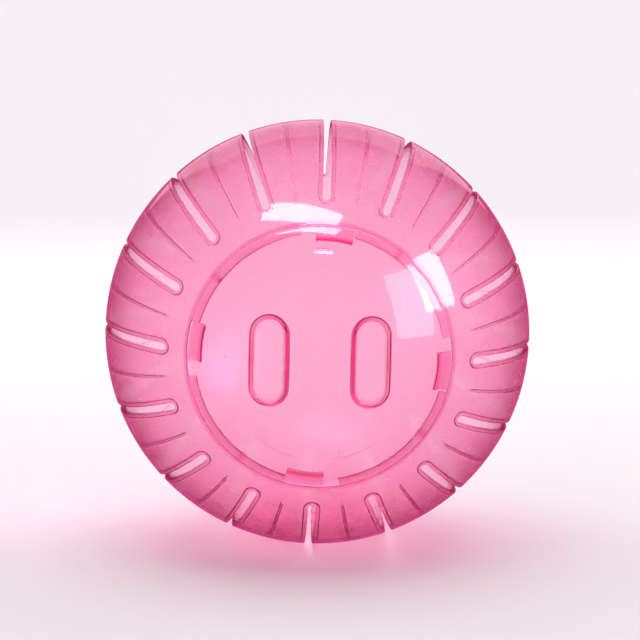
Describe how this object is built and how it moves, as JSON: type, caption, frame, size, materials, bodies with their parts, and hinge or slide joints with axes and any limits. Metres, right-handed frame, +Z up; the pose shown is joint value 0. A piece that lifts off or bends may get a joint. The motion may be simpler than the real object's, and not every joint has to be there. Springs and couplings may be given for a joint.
{
  "type": "hamster ball",
  "caption": "Hollow translucent exercise ball in two slotted half shells, with a round domed door that locks by a bayonet twist and has two finger wells.",
  "frame": {"origin": "centre of the ball, on the parting plane of the two halves", "axes": "+Z up, -Y along the door axis towards the outside of the door, +X to the right of someone who looks at the door"},
  "size_m": [0.178, 0.178, 0.178],
  "materials": {
    "shell_plastic": "translucent pink, high gloss",
    "door_plastic": "translucent pink, high gloss"
  },
  "bodies": {
    "front_half": {"front_half_shell": "shell_plastic"},
    "rear_half": {"rear_half_shell": "shell_plastic"},
    "door": {"door": "door_plastic"}
  },
  "joints": [
    {"name": "halves_pull_apart", "type": "slide", "parent": "front_half", "child": "rear_half", "axis": [0, 1, 0], "range_m": [0, 0.03]},
    {"name": "door_twist", "type": "hinge", "parent": "front_half", "child": "door", "pos_m": [0, 0, 0], "axis": [0, 1, 0], "range_deg": [0, 20]}
  ]
}
